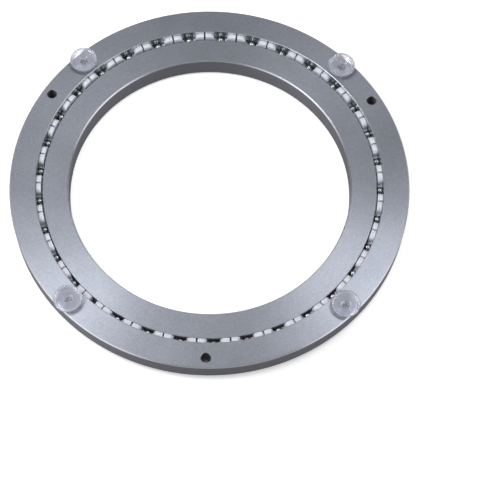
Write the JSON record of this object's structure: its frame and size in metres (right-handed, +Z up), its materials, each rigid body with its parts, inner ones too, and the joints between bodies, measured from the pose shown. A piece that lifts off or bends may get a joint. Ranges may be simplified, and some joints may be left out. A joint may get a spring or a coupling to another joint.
{
  "type": "lazy susan bearing",
  "caption": "Flat aluminium turntable bearing: two concentric rings turning on caged steel balls, with clear grip pads and screw holes on the raised outer ring.",
  "frame": {"origin": "on the spin axis, at the level that the feet stand on", "axes": "+Z up along the spin axis; -Y through a screw hole of the outer ring, with the four grip pads midway between X and Y"},
  "size_m": [0.2, 0.2, 0.0189],
  "materials": {
    "turned_aluminium": "satin turned and anodised",
    "bearing_steel": "polished",
    "white_nylon": "moulded, semi-gloss",
    "clear_vinyl": "clear, glossy",
    "foot_rubber": "matt"
  },
  "bodies": {
    "base": {"inner_ring": "turned_aluminium", "foot_1": "foot_rubber", "foot_2": "foot_rubber", "foot_3": "foot_rubber", "foot_4": "foot_rubber"},
    "turntable": {"outer_ring": "turned_aluminium", "grip_pad_1": "clear_vinyl", "grip_pad_2": "clear_vinyl", "grip_pad_3": "clear_vinyl", "grip_pad_4": "clear_vinyl"},
    "ball_train": {"bearing_balls": "bearing_steel", "ball_spacer_01": "white_nylon", "ball_spacer_02": "white_nylon", "ball_spacer_03": "white_nylon", "ball_spacer_04": "white_nylon", "ball_spacer_05": "white_nylon", "ball_spacer_06": "white_nylon", "ball_spacer_07": "white_nylon", "ball_spacer_08": "white_nylon", "ball_spacer_09": "white_nylon", "ball_spacer_10": "white_nylon", "ball_spacer_11": "white_nylon", "ball_spacer_12": "white_nylon", "ball_spacer_13": "white_nylon", "ball_spacer_14": "white_nylon", "ball_spacer_15": "white_nylon", "ball_spacer_16": "white_nylon", "ball_spacer_17": "white_nylon", "ball_spacer_18": "white_nylon", "ball_spacer_19": "white_nylon", "ball_spacer_20": "white_nylon", "ball_spacer_21": "white_nylon", "ball_spacer_22": "white_nylon", "ball_spacer_23": "white_nylon", "ball_spacer_24": "white_nylon", "ball_spacer_25": "white_nylon", "ball_spacer_26": "white_nylon", "ball_spacer_27": "white_nylon", "ball_spacer_28": "white_nylon", "ball_spacer_29": "white_nylon", "ball_spacer_30": "white_nylon", "ball_spacer_31": "white_nylon", "ball_spacer_32": "white_nylon", "ball_spacer_33": "white_nylon"}
  },
  "joints": [
    {"name": "outer_spin", "type": "hinge", "parent": "base", "child": "turntable", "pos_m": [0, 0, 0.0094], "axis": [0, 0, 1], "continuous": true},
    {"name": "ball_train_spin", "type": "hinge", "parent": "base", "child": "ball_train", "pos_m": [0, 0, 0.0094], "axis": [0, 0, 1], "continuous": true}
  ],
  "couplings": [
    {"joint": "ball_train_spin", "follows": "outer_spin", "ratio": 0.5101}
  ]
}
